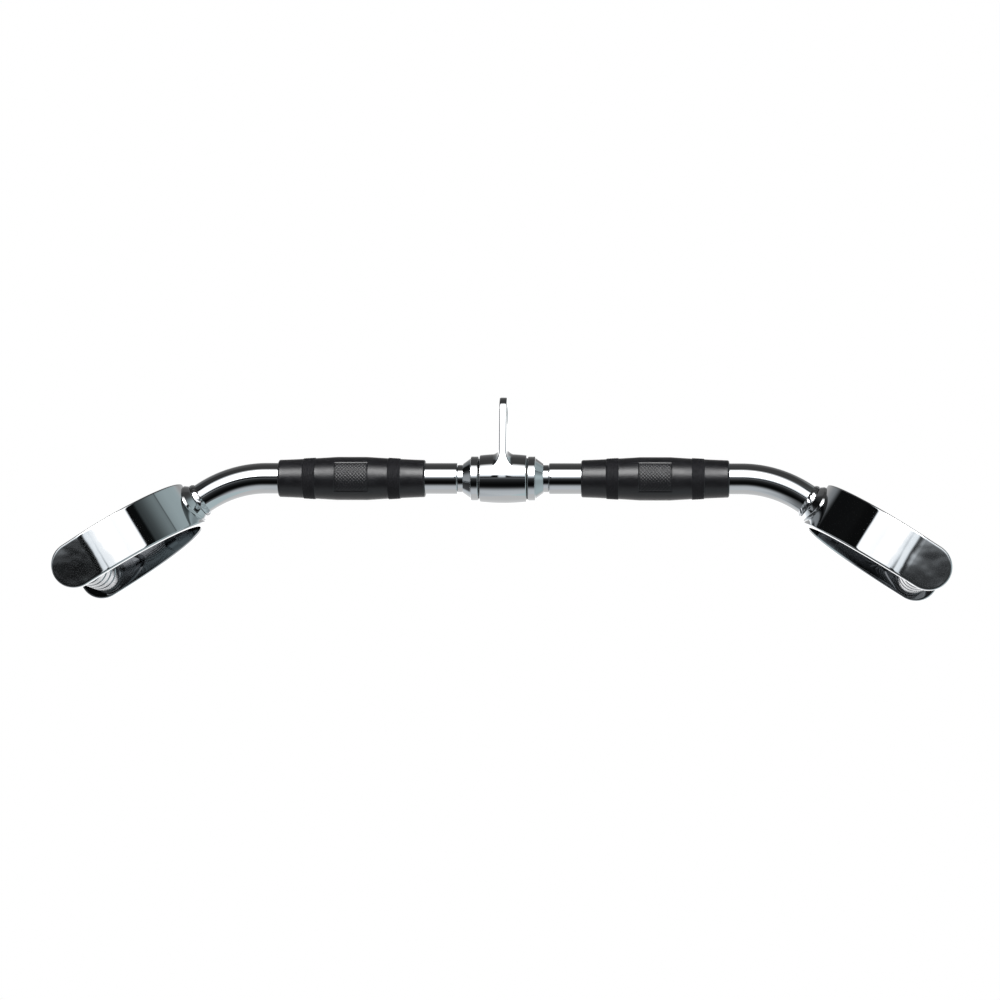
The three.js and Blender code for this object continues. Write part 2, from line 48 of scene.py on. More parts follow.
# Sizes in millimetres, as in the CAD model. The origin is the middle of the eye.
EYE_HEIGHT = 52  # above the bar's axis
EYE_RADIUS = 8
LUG_TOP = 66.1
LUG_HALF_THICKNESS = 3.0
LUG_FOOT_HALF = 19.0
LUG_TOP_HALF = 15.0
LUG_CORNER = 12.0
LUG_FILLET = 7.0
SLEEVE_HALF = 19.2
SLEEVE_RADIUS = 20.2
SLEEVE_CROWN = 1.1
SPINDLE_RADIUS = 11.2
SPINDLE_TAIL_RADIUS = 9.1
COLLAR_START = 19.85
COLLAR_RADIUS = 18.1
TUBE_RADIUS = 12.7
TUBE_BORE_RADIUS = 9.5
TUBE_START = 37.15
BEND_START = 193.3
BEND_RADIUS = 90.8
DROOP = math.radians(32.7)
END_STRAIGHT = 12
RUBBER_MIDDLE = 123.4
RUBBER_HALF = 60.0
RUBBER_BORE_RADIUS = 13.0
BOSS_HALF_HEIGHT = 16.7
BOSS_STRETCH = 1.42
BOSS_THICKNESS = 4.0
BOSS_CURVE_SHARE = 0.6
BOW_DEPTH = 90
BOW_HALF_WIDTH = 69.85
STRAP_HALF_THICKNESS = 3.175
STRAP_HALF_WIDTH = 19.05
STRAP_END_HALF_WIDTH = 18.6
STRAP_MIDDLE_HALF = 66.675
STIRRUP_REACH = 102.2
AXLE_REACH = 99.4
AXLE_HALF = 67.2
AXLE_RADIUS = 6.0
GRIP_HALF = 62.7
GRIP_RADIUS = 14.3
JOINT_X = BEND_START + BEND_RADIUS * math.sin(DROOP) + END_STRAIGHT * math.cos(DROOP)
JOINT_Z = -BEND_RADIUS * (1 - math.cos(DROOP)) - END_STRAIGHT * math.sin(DROOP)


# ---------------------------------------------------------------- frames
def placed(*steps):
    """Product of the steps' matrices."""
    result = Matrix.Identity(4)
    for step in steps:
        result = result @ step
    return result


BAR = Matrix.Translation((0, 0, -EYE_HEIGHT))
SIDES = {
    "right": BAR,
    "left": placed(BAR, Matrix.Rotation(math.pi, 4, "Z")),
}


def stirrup_frame(side):
    """X runs on along the tube's end, from where its axis meets the bow."""
    return placed(
        SIDES[side],
        Matrix.Translation((JOINT_X, 0, JOINT_Z)),
        Matrix.Rotation(DROOP, 4, "Y"),
    )


def handle_frame(side):
    """X runs along the hand grip's axle, from its middle."""
    return placed(
        stirrup_frame(side),
        Matrix.Translation((AXLE_REACH, 0, 0)),
        Matrix.Rotation(QUARTER, 4, "Z"),
    )


# ---------------------------------------------------------------- number tools
def clamped(value):
    return min(max(value, 0.0), 1.0)


def smooth_step(value, start, end):
    share = clamped((value - start) / (end - start))
    return share * share * (3 - 2 * share)


def quarter_arc(steps):
    """(sine, 1 - cosine) at even angles over a quarter turn."""
    angles = [QUARTER * k / steps for k in range(steps + 1)]
    return [(math.sin(angle), 1 - math.cos(angle)) for angle in angles]


def mirrored(profile):
    """The profile mirrored at x = 0, in reverse order."""
    return [(-x, *rest) for x, *rest in reversed(profile)]


def lattice_noise(*cell):
    """Repeatable value from 0 to 1 for a whole-number cell."""
    value = math.sin(sum(c * k for c, k in zip(cell, (127.1, 311.7, 74.7)))) * 43758.5453
    return value - math.floor(value)


# ---------------------------------------------------------------- mesh tools
ROUND_SIDES = 96


def make_piece(name, points, faces, place, material, sharp=30, weighted=True):
    """One closed mesh from millimetre points, moved to its place and turned into metres."""
    mesh = bpy.data.meshes.new(name)
    to_world = Matrix.Scale(MM, 4) @ place
    mesh.from_pydata([to_world @ Vector(p) for p in points], [], faces)
    mesh.update()
    work = bmesh.new()
    work.from_mesh(mesh)
    bmesh.ops.recalc_face_normals(work, faces=work.faces)
    work.to_mesh(mesh)
    work.free()
    mesh.polygons.foreach_set("use_smooth", [True] * len(mesh.polygons))
    mesh.set_sharp_from_angle(angle=math.radians(sharp))
    mesh.materials.append(material)
    piece = bpy.data.objects.new(name, mesh)
    scene.collection.objects.link(piece)
    if weighted:
        modifier = piece.modifiers.new("even_normals", "WEIGHTED_NORMAL")
        modifier.mode = "FACE_AREA"
        modifier.weight = 80
        modifier.keep_sharp = True
    return piece


def dress(piece, body, slot, *nodes):
    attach(piece, body)
    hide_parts(*nodes)


def without_repeats(face):
    """The face without points that equal the one before them."""
    return [v for n, v in enumerate(face) if v != face[n - 1]]


def band(low, high):
    """Faces between two closed rings of point numbers. Either ring may be a single point."""
    faces = []
    for j in range(len(low)):
        k = (j + 1) % len(low)
        face = without_repeats([low[j], low[k], high[k], high[j]])
        if len(face) > 2:
            faces.append(face)
    return faces


def soften(corners, closed, steps=5):
    """Profile of (along, radius) pairs from (along, radius, rounding) corners."""
    count = len(corners)
    points = []
    for i, corner in enumerate(corners):
        here = Vector(corner[:2])
        rounding = corner[2] if len(corner) > 2 else 0
        if rounding <= 0 or (not closed and i in (0, count - 1)):
            points.append(tuple(here))
            continue
        before = Vector(corners[i - 1][:2]) - here
        after = Vector(corners[(i + 1) % count][:2]) - here
        half = before.angle(after) / 2
        reach = min(rounding / math.tan(half), 0.49 * before.length, 0.49 * after.length)
        size = reach * math.tan(half)
        inward = (before.normalized() + after.normalized()).normalized()
        centre = here + inward * (size / math.sin(half))
        start = here + before.normalized() * reach - centre
        sweep = start.angle_signed(here + after.normalized() * reach - centre)
        for k in range(steps + 1):
            spoke = start.copy()
            spoke.rotate(Matrix.Rotation(-sweep * k / steps, 2))
            points.append(tuple(centre + spoke))
    return points


def turned(name, profile, place, material, sides=ROUND_SIDES, push=None, **look):
    """Profile turned round the X axis. Open profiles start and end on the axis."""
    closed = profile[0][1] > 0
    points, rings, faces = [], [], []
    for along, radius in profile:
        if radius <= 0:
            rings.append([len(points)] * sides)
            points.append((along, 0, 0))
            continue
        rings.append(list(range(len(points), len(points) + sides)))
        for j in range(sides):
            angle = TURN * j / sides
            x, r = push(along, radius, angle) if push else (along, radius)
            points.append((x, -r * math.cos(angle), r * math.sin(angle)))
    pairs = list(zip(rings, rings[1:]))
    if closed:
        pairs.append((rings[-1], rings[0]))
    for low, high in pairs:
        faces += band(low, high)
    return make_piece(name, points, faces, place, material, **look)


# ---------------------------------------------------------------- node tools
class Graph:
    """Short ways to build a node tree."""

    def __init__(self, tree):
        self.tree = tree

    def add(self, kind, **settings):
        node = self.tree.nodes.new(kind)
        for key, value in settings.items():
            setattr(node, key, value)
        return node

    def feed(self, socket, value):
        if isinstance(value, bpy.types.NodeSocket):
            self.tree.links.new(value, socket)
        else:
            socket.default_value = value

    def math(self, operation, *values):
        node = self.add("ShaderNodeMath", operation=operation)
        for socket, value in zip(node.inputs, values):
            self.feed(socket, value)
        return node.outputs[0]

    def times(self, a, b):
        return self.math("MULTIPLY", a, b)

    def spread(self, value, start, end, low=0.0, high=1.0, kind="SMOOTHSTEP"):
        node = self.add("ShaderNodeMapRange", interpolation_type=kind)
        for socket, item in zip(node.inputs, (value, start, end, low, high)):
            self.feed(socket, item)
        return node.outputs[0]

    def spread_degrees(self, angle, start, end, low=0.0, high=1.0):
        """Smooth step between two angles that are given in degrees."""
        return self.spread(angle, math.radians(start), math.radians(end), low, high)

    def mix(self, share, a, b):
        node = self.add("ShaderNodeMix", data_type="FLOAT")
        for index, item in ((0, share), (2, a), (3, b)):
            self.feed(node.inputs[index], item)
        return node.outputs[0]

    def mix_colour(self, share, a, b):
        node = self.add("ShaderNodeMix", data_type="RGBA")
        for index, item in ((0, share), (6, a), (7, b)):
            self.feed(node.inputs[index], item)
        return node.outputs[2]

    def axes(self, vector):
        """The vector's x, y and z."""
        node = self.add("ShaderNodeSeparateXYZ")
        self.feed(node.inputs[0], vector)
        return node.outputs

    def ramp(self, value, stops):
        """Value through (position, level) stops, straight between them."""
        node = self.add("ShaderNodeValToRGB")
        self.feed(node.inputs[0], value)
        elements = node.color_ramp.elements
        while len(elements) < len(stops):
            elements.new(1.0)
        for element, (position, level) in zip(elements, stops):
            element.position = position
            element.color = (level, level, level, 1)
        return node.outputs[0]

    def noise(self, vector, scale, detail=2.0, roughness=0.5):
        node = self.add("ShaderNodeTexNoise")
        for key, value in (
            ("Vector", vector), ("Scale", scale), ("Detail", detail), ("Roughness", roughness),
        ):
            self.feed(node.inputs[key], value)
        return node.outputs[0]

    def bump(self, height, strength, distance, normal=None):
        node = self.add("ShaderNodeBump")
        self.feed(node.inputs["Strength"], strength)
        self.feed(node.inputs["Distance"], distance)
        self.feed(node.inputs["Height"], height)
        if normal:
            self.feed(node.inputs["Normal"], normal)
        return node.outputs[0]


def new_material(name, metallic):
    """Material, its graph, its shader's inputs and the place on the part in metres."""
    material = bpy.data.materials.new(name)
    material.use_nodes = True
    graph = Graph(material.node_tree)
    inputs = material.node_tree.nodes["Principled BSDF"].inputs
    inputs["Metallic"].default_value = metallic
    place = graph.add("ShaderNodeTexCoord").outputs["Object"]
    return material, graph, inputs, place


# ---------------------------------------------------------------- materials
ARM_END_FADE = (0.302, 0.322)  # metres from the middle, over which the arm ends begin
ARM_END_ROUGHNESS = 0.055
BAND_EDGES = (29.6, 30.2, 39.2, 39.8)  # millimetres from a rubber grip's middle


def bluish(level):
    """Plating colour at a level of grey."""
    return (level, level + 0.01, level + 0.02, 1)


def chrome_material(name, arm_ends=False, level=0.64):
    """Bright plating, or at a lower level a darker copy that paints shade. Polished arm ends get a
    slightly uneven face.
    """
    material, graph, inputs, place = new_material(name, 1.0)
    haze = graph.noise(place, 60.0, 4.0, 0.6)
    graph.feed(inputs["Base Color"], graph.mix_colour(haze, bluish(level), bluish(level + 0.04)))
    rough = graph.spread(haze, 0.35, 0.75, 0.02, 0.06, "LINEAR")
    skin = graph.bump(graph.noise(place, 45.0, 1.0), 0.03, 0.001)
    if arm_ends:
        off_middle = graph.math("ABSOLUTE", graph.axes(place)[0])
        near_end = graph.spread(off_middle, *ARM_END_FADE)
        waves = graph.times(graph.noise(place, 40.0, 2.0, 0.45), near_end)
        skin = graph.bump(waves, 1.0, 0.00012, skin)
        rough = graph.mix(near_end, rough, ARM_END_ROUGHNESS)
    graph.feed(inputs["Roughness"], rough)
    graph.feed(inputs["Normal"], skin)
    return material


def grained_material(name, metallic, scale, dark, light, rough, relief):
    """Colour, roughness and relief follow one fine noise. Relief is (strength, metres)."""
    material, graph, inputs, place = new_material(name, metallic)
    grain = graph.noise(place, scale, 3.0, 0.6)
    graph.feed(inputs["Base Color"], graph.mix_colour(grain, dark, light))
    graph.feed(inputs["Roughness"], graph.spread(grain, 0.3, 0.7, *rough, "LINEAR"))
    graph.feed(inputs["Normal"], graph.bump(grain, *relief))
    return material


def machined_material(name, metallic, dark, light, rough):
    """Turned or moulded surface, a little uneven."""
    spread = (rough - 0.06, rough + 0.06)
    return grained_material(name, metallic, 500.0, dark, light, spread, (0.15, 0.0003))


def rubber_material():
    """Satin rubber whose two raised bands on each grip are duller than the rest."""
    material, graph, inputs, place = new_material("grip_rubber", 0.0)
    off_middle = graph.math("ABSOLUTE", graph.axes(place)[0])
    from_middle = graph.math("ABSOLUTE", graph.math("SUBTRACT", off_middle, RUBBER_MIDDLE * MM))
    edges = [edge * MM for edge in BAND_EDGES]
    on_band = graph.times(
        graph.spread(from_middle, edges[0], edges[1]),
        graph.spread(from_middle, edges[2], edges[3], 1.0, 0.0),
    )
    patches = graph.noise(place, 70.0, 3.0, 0.6)
    grain = graph.noise(place, 2600.0, 2.0, 0.6)
    dark, light = (0.006, 0.006, 0.007, 1), (0.012, 0.012, 0.014, 1)
    graph.feed(inputs["Base Color"], graph.mix_colour(patches, dark, light))
    satin = graph.spread(patches, 0.35, 0.7, 0.28, 0.38, "LINEAR")
    graph.feed(inputs["Roughness"], graph.mix(on_band, satin, 0.6))
    graph.feed(inputs["Specular IOR Level"], graph.mix(on_band, 0.43, 0.14))
    graph.feed(inputs["Normal"], graph.bump(grain, 0.2, 0.0003))
    return material


CHROME = chrome_material("chrome")
ARM_CHROME = chrome_material("arm_chrome", arm_ends=True)
# Darker chrome colour for the strap's inside faces: painted shade that stands in for the dark
# reflections inside the bow.
PAINTED_SHADE_CHROME = chrome_material("inner_chrome_painted_shade", level=0.25)
WELD = grained_material(
    "plated_weld", 1.0, 700.0,
    (0.54, 0.55, 0.57, 1), (0.70, 0.71, 0.72, 1), (0.05, 0.14), (0.2, 0.0005))
KNURL = grained_material(
    "knurled_chrome", 1.0, 900.0,
    (0.42, 0.43, 0.45, 1), (0.52, 0.53, 0.55, 1), (0.05, 0.09), (0.1, 0.0002))
RUBBER = rubber_material()
STEEL = machined_material(
    "axle_steel", 1.0, (0.42, 0.43, 0.44, 1), (0.60, 0.61, 0.62, 1), 0.32)
# Bushing bronze darkened to near black: painted shade for the shaded gaps beside the sleeve, where
# it shows.
BRONZE_PAINTED_SHADE = machined_material(
    "bush_bronze", 1.0, (0.055, 0.045, 0.034, 1), (0.095, 0.078, 0.056, 1), 0.36)
NYLON = machined_material(
    "bush_nylon", 0.0, (0.018, 0.018, 0.018, 1), (0.03, 0.03, 0.03, 1), 0.5)


# ---------------------------------------------------------------- swivel
LUG_SIDE = Vector((LUG_TOP_HALF - LUG_FOOT_HALF, LUG_TOP - LUG_CORNER)).normalized()
LUG_CORNER_Y = LUG_TOP_HALF - LUG_CORNER
LUG_CORNER_Z = LUG_TOP - LUG_CORNER
LUG_LOW = 4.0  # where the lug's mesh begins, inside the sleeve
LUG_EDGE_INSET = 0.55
LUG_EDGE_DEPTH = 1.5
EYE_EDGE = 0.9
EDGE_STEPS = 5
EYE_SIDES = 64
FLANK_STEPS = 29
CORNER_STEPS = 16
FILLET_STEPS = 14
FILLET_HALF_STEPS = 34  # steps to each side of the top
FILLET_STEP = 2.5  # degrees


def sleeve_radius(x):
    share = x / SLEEVE_HALF
    return SLEEVE_RADIUS - SLEEVE_CROWN * share * share


def lug_distance(y, z):
    """Distance inside the lug's outline, negative outside it."""
    if abs(y) > LUG_CORNER_Y and z > LUG_CORNER_Z:
        return LUG_CORNER - math.hypot(abs(y) - LUG_CORNER_Y, z - LUG_CORNER_Z)
    flank = (abs(y) - LUG_FOOT_HALF) * LUG_SIDE.y - z * LUG_SIDE.x
    return -max(flank, z - LUG_TOP)


def eye_distance(y, z):
    """Distance outside the eye's hole."""
    return math.hypot(y, z - EYE_HEIGHT) - EYE_RADIUS


def lug_outline(inset, low):
    """Points round the lug's outline at a distance inside it, from the right foot over the top."""
    out = Vector((LUG_SIDE.y, -LUG_SIDE.x))
    foot = Vector((LUG_FOOT_HALF, 0)) - out * inset
    rise = Vector((LUG_TOP_HALF, LUG_CORNER_Z)) - out * inset - foot
    first = (low - foot.y) / rise.y
    points = [
        foot + rise * (first + (1 - first) * k / FLANK_STEPS) for k in range(FLANK_STEPS)
    ]
    for k in range(CORNER_STEPS + 1):
        angle = QUARTER * k / CORNER_STEPS
        spoke = Vector((math.cos(angle), math.sin(angle)))
        points.append(Vector((LUG_CORNER_Y, LUG_CORNER_Z)) + (LUG_CORNER - inset) * spoke)
    return points + mirrored(points)


def lug_mesh():
    """Upright lug with round edges, eye and a hollow fillet towards the sleeve."""
    toe = LUG_HALF_THICKNESS + LUG_FILLET
    toe_radius = sleeve_radius(toe) - 0.2

    def half_thickness(y, z):
        climb = clamped((math.hypot(y, z) - toe_radius) / LUG_FILLET)
        value = toe - LUG_FILLET * math.sqrt(1 - (1 - climb) ** 2)
        for distance, inset, depth in (
            (lug_distance(y, z), LUG_EDGE_INSET, LUG_EDGE_DEPTH),
            (eye_distance(y, z), EYE_EDGE, EYE_EDGE),
        ):
            if distance < inset:
                share = 1 - max(distance, 0.0) / inset
                value -= depth * (1 - math.sqrt(max(1 - share ** 2, 0.0)))
        return value

    flat, edges = [], []

    def add_line(line, closed):
        first = len(flat)
        flat.extend(Vector(p) for p in line)
        last = len(flat) - 1
        edges.extend((k, k + 1) for k in range(first, last))
        if closed:
            edges.append((last, first))

    add_line(lug_outline(0.0, LUG_LOW), True)
    for _, share in quarter_arc(EDGE_STEPS)[1:]:
        inset = LUG_EDGE_INSET * share
        add_line(lug_outline(inset, LUG_LOW + inset), False)
    for _, share in quarter_arc(EDGE_STEPS):
        ring = EYE_RADIUS + EYE_EDGE * share
        angles = [TURN * j / EYE_SIDES for j in range(EYE_SIDES)]
        add_line([(ring * math.cos(a), EYE_HEIGHT + ring * math.sin(a)) for a in angles], True)
    steps = range(-FILLET_HALF_STEPS, FILLET_HALF_STEPS + 1)
    for _, share in quarter_arc(FILLET_STEPS):
        ring = toe_radius + LUG_FILLET * share
        angles = [math.radians(FILLET_STEP * k) for k in steps]
        arc = [(ring * math.sin(a), ring * math.cos(a)) for a in angles]
        clear = [p for p in arc if lug_distance(*p) > LUG_EDGE_INSET * 1.1 and p[1] > LUG_LOW + 1]
        add_line(clear, False)
    for row in range(10):
        for column in range(-5, 6):
            y, z = column * 2.6, 28.5 + row * 4.0
            if lug_distance(y, z) > 1.6 and eye_distance(y, z) > 1.8:
                flat.append(Vector((y, z)))

    found, _, triangles, *_ = delaunay_2d_cdt(flat, edges, [], 0, 1e-5)
    kept = []
    for triangle in triangles:
        y = sum(found[v].x for v in triangle) / 3
        z = sum(found[v].y for v in triangle) / 3
        if lug_distance(y, z) > 0 and z > LUG_LOW and eye_distance(y, z) > -0.008:
            kept.append(tuple(triangle))
    used = sorted({v for triangle in kept for v in triangle})
    index = {v: k for k, v in enumerate(used)}
    count = len(used)
    points = [
        (sign * half_thickness(*found[v]), *found[v]) for sign in (1, -1) for v in used
    ]
    faces = [tuple(index[v] for v in triangle) for triangle in kept]
    faces += [tuple(index[v] + count for v in reversed(triangle)) for triangle in kept]
    sides = [side for triangle in kept for side in zip(triangle, triangle[1:] + triangle[:1])]
    uses = {}
    for side in sides:
        uses[frozenset(side)] = uses.get(frozenset(side), 0) + 1
    for a, b in sides:
        if uses[frozenset((a, b))] == 1:
            faces.append((index[b], index[a], index[a] + count, index[b] + count))
    return points, faces


def join_into(piece, other):
    """Adds another piece's mesh as a second shell of the same piece."""
    work = bmesh.new()
    work.from_mesh(piece.data)
    work.from_mesh(other.data)
    work.to_mesh(piece.data)
    work.free()
    bpy.data.objects.remove(other)


def build_swivel():
    steps, rim = 24, (sleeve_radius(SLEEVE_HALF), 0.9)
    stations = [SLEEVE_HALF * (2 * k / steps - 1) for k in range(1, steps)]
    outside = [(x, sleeve_radius(x)) for x in stations]
    outside = [(-SLEEVE_HALF, *rim), *outside, (SLEEVE_HALF, *rim)]
    bush_seat = [(SLEEVE_HALF, 17.3, 0.3), (17.35, 17.3), (17.35, 15.05)]
    profile = soften(outside + bush_seat + mirrored(bush_seat), True)
    sleeve = turned("swivel_eye_body", profile, BAR, CHROME, 128)
    join_into(sleeve, make_piece("lug", *lug_mesh(), BAR, CHROME))
    dress(sleeve, "swivel", "chrome_plate", "swivel_eye")


def build_spindle():
    half = [
        (37.0, SPINDLE_RADIUS, 0.4), (37.0, SPINDLE_TAIL_RADIUS),
        (66.0, SPINDLE_TAIL_RADIUS, 0.8), (67.0, 0),
    ]
    spindle = turned("spindle", soften(mirrored(half) + half, False), BAR, CHROME)
    dress(spindle, "bar", "chrome_plate", "centre_spindle")


def build_collar(side):
    profile = [
        (COLLAR_START, COLLAR_RADIUS, 1.1), (26.25, COLLAR_RADIUS, 1.0), (26.35, 16.9, 0.3),
        (32.75, 12.1, 0.5), (32.75, 11.5), (COLLAR_START, 11.5, 0.3),
    ]
    collar = turned(f"collar_{side}", soften(profile, True), SIDES[side], CHROME)
    dress(collar, "bar", "chrome_plate", f"stop_collar_{side}")
    profile = [
        (4.55, 14.7, 0.3), (17.95, 14.7), (17.95, 16.9, 0.3),
        (19.55, 16.9, 0.3), (19.55, 11.75, 0.3), (4.55, 11.75, 0.3),
    ]
    # The bushing's near-black colour is painted shade for the gaps beside the sleeve.
    bush = turned(f"bushing_{side}", soften(profile, True), SIDES[side], BRONZE_PAINTED_SHADE)
    dress(bush, "swivel", "bush_bronze", f"swivel_bush_{side}")


# ---------------------------------------------------------------- tube and rubber grips
BEND_LENGTH = BEND_RADIUS * DROOP
TUBE_INTO_BOW = 2.4
RUBBER_FLAT_HALF = 12.3
RUBBER_END_RADIUS = 15.15
RUBBER_SWELL = 2.45
RUBBER_LIP = 1.6
BAND_HEIGHT = 0.46
RIB_HEIGHT = 0.07
RIB_PITCH = 1.5
RIB_START, RIB_MIDDLE, RIB_END = 30.3, 34.7, 39.1
PAD_HALF = 14.2
PAD_ANGLE = 45.0  # degrees to each side of the pad's middle
PAD_PITCH = 2.8
PAD_DEPTH = 0.5
# Rows of points from the grip's middle outwards: first row, spacing, number of rows
RUBBER_ROWS = (
    (0.0, 0.35, 46), (17.0, 1.0, 12), (28.6, 0.2, 13),
    (31.0, 0.25, 31), (38.6, 0.2, 10), (41.0, 1.2, 15),
)


def tube_station(distance):
    """Point and direction angle at a distance along one tube half from the bar's middle."""
    if distance <= BEND_START:
        return (distance, 0.0), 0.0
    along = distance - BEND_START
    angle = min(along / BEND_RADIUS, DROOP)
    beyond = max(along - BEND_LENGTH, 0.0)
    return (
        BEND_START + BEND_RADIUS * math.sin(angle) + beyond * math.cos(angle),
        -BEND_RADIUS * (1 - math.cos(angle)) - beyond * math.sin(angle),
    ), angle


def build_tube(side):
    """Tube half with a rounded rim at the collar. Its other end is inside the bow."""
    rim = [(0, 0.7), (0.25, 0.25), (0.8, 0.0), (3, 0.0)]
    straight = BEND_START - TUBE_START - 3
    end = BEND_START + BEND_LENGTH + END_STRAIGHT + TUBE_INTO_BOW
    stations = [(TUBE_START + start, cut) for start, cut in rim]
    stations += [(TUBE_START + 3 + straight * k / 12, 0.0) for k in range(1, 13)]
    stations += [(BEND_START + BEND_LENGTH * k / 56, 0.0) for k in range(1, 57)]
    stations += [(end - 7, 0.0), (end, 0.0)]
    walls = [(distance, TUBE_RADIUS - cut) for distance, cut in stations]
    walls += [(distance, TUBE_BORE_RADIUS) for distance, _ in reversed(stations)]
    points, rings, faces = [], [], []
    for distance, radius in walls:
        (x, z), angle = tube_station(distance)
        rings.append(range(len(points), len(points) + ROUND_SIDES))
        for j in range(ROUND_SIDES):
            spin = TURN * j / ROUND_SIDES
            up = radius * math.sin(spin)
            points.append(
                (x + up * math.sin(angle), -radius * math.cos(spin), z + up * math.cos(angle)))
    for low, high in zip(rings, rings[1:] + rings[:1]):
        faces += band(low, high)
    tube = make_piece(f"tube_{side}", points, faces, SIDES[side], CHROME, sharp=50)
    dress(tube, "bar", "chrome_plate", f"bar_tube_{side}")


def rubber_radius(distance):
    """Barrel shape, flat in the middle, at a distance from there."""
    share = max(distance - RUBBER_FLAT_HALF, 0.0) / (RUBBER_HALF - RUBBER_FLAT_HALF)
    return RUBBER_END_RADIUS + RUBBER_SWELL * (1 - share) ** 1.3


def banded_radius(distance):
    """The same with the raised band and its ribs."""
    raised = smooth_step(distance, 29.5, 30.2) * (1 - smooth_step(distance, 39.2, 39.9))
    rib = 0.0
    if RIB_START < distance < RIB_END:
        rib = math.cos(TURN * (distance - RIB_MIDDLE) / RIB_PITCH)
    return rubber_radius(distance) + raised * (BAND_HEIGHT + RIB_HEIGHT * rib)


def pad_pattern(along, radius, angle):
    """Sinks a pad with small diamonds into the rubber's front and back."""
    reach = math.degrees(math.acos(min(abs(math.cos(angle)), 1.0)))
    towards_rim = max(abs(along) / PAD_HALF, reach / PAD_ANGLE)
    if towards_rim > 0.95:
        return along, radius
    raised = 0.0
    if towards_rim <= 0.89:
        around = radius * math.radians(reach) * (1 if math.sin(angle) > 0 else -1)
        diagonals = (along + around, along - around)
        grooves = [abs((way / PAD_PITCH) % 1.0 - 0.5) * 2 for way in diagonals]
        raised = min((1 - max(grooves)) * 2.4, 1.0)
    return along, radius - PAD_DEPTH * (1 - raised)


def build_rubber(side):
    rows = {round(first + gap * k, 3) for first, gap, count in RUBBER_ROWS for k in range(count)}
    outside = [(x, banded_radius(x)) for x in sorted(rows)]
    lip_start = RUBBER_HALF - RUBBER_LIP
    outside += [
        (lip_start + RUBBER_LIP * out, rubber_radius(lip_start) - RUBBER_LIP * down)
        for out, down in quarter_arc(6)
    ]
    bore = [(RUBBER_HALF, RUBBER_BORE_RADIUS), (-RUBBER_HALF, RUBBER_BORE_RADIUS)]
    rubber = turned(
        f"rubber_{side}", mirrored(outside[1:]) + outside + bore,
        placed(SIDES[side], Matrix.Translation((RUBBER_MIDDLE, 0, 0))),
        RUBBER, 224, pad_pattern, sharp=60, weighted=False)
    dress(rubber, "bar", "grip_rubber", f"rubber_grip_{side}")


# ---------------------------------------------------------------- boss and weld bead
WELD_BORE_RADIUS = 12.9
WELD_SEEDS = {"left": 0.0, "right": 1.7}
BOSS_FRONT = -BOSS_THICKNESS - 0.3
BEAD_TOE = -7.6
BEAD_TOE_RADIUS = 13.0
BEAD_RISE = 1.4
BEAD_STEPS = 16
RIPPLES = 15
RIPPLE_SIDES = 16


def bow_fall(across):
    """How far the bow's back has turned away at a distance from its middle."""
    return BOW_DEPTH * (1 - math.sqrt(max(1 - (across / BOW_HALF_WIDTH) ** 2, 0.0)))


def lumps(angle, along, seed):
    """Low waves of a hand-made weld, from -1 to 1."""
    waves = ((5, 0.9, 0.35), (9, 2.1, 0.3), (13, 3.9, 0.2), (17, 1.3, 0.15))
    return sum(
        share * math.sin(count * angle + start + seed * count + 0.25 * along * (k - 1))
        for k, (count, start, share) in enumerate(waves)
    )


def build_boss(side):
    """Oval pad that follows the bow's back."""
    seed = WELD_SEEDS[side]

    def pad(along, radius, angle):
        up, round_bow = math.sin(angle), math.cos(angle)
        rim = BOSS_HALF_HEIGHT * BOSS_STRETCH / math.hypot(round_bow, BOSS_STRETCH * up)
        share = (radius - WELD_BORE_RADIUS) / (BOSS_HALF_HEIGHT - WELD_BORE_RADIUS)
        wide = WELD_BORE_RADIUS + share * (rim - WELD_BORE_RADIUS)
        if share > 0.3:
            wide += 0.2 * share * lumps(angle, along, seed)
        depth_share = (along + BOSS_THICKNESS) / BOSS_THICKNESS
        curve = BOSS_CURVE_SHARE + (1 - BOSS_CURVE_SHARE) * depth_share
        return along + min(curve, 1.0) * bow_fall(wide * round_bow), wide

    profile = [
        (BOSS_FRONT, WELD_BORE_RADIUS), (BOSS_FRONT + 0.1, 13.6), (BOSS_FRONT + 0.5, 14.4, 0.5),
        (-1.2, 16.4, 0.9), (0.1, BOSS_HALF_HEIGHT, 0.1), (0.1, 15.4), (0.1, 14.0),
        (0.1, WELD_BORE_RADIUS),
    ]
    boss = turned(
        f"boss_{side}", soften(profile, True, 8), stirrup_frame(side),
        CHROME, 192, pad, sharp=50, weighted=False)
    dress(boss, "bar", "chrome_plate", f"end_boss_{side}")


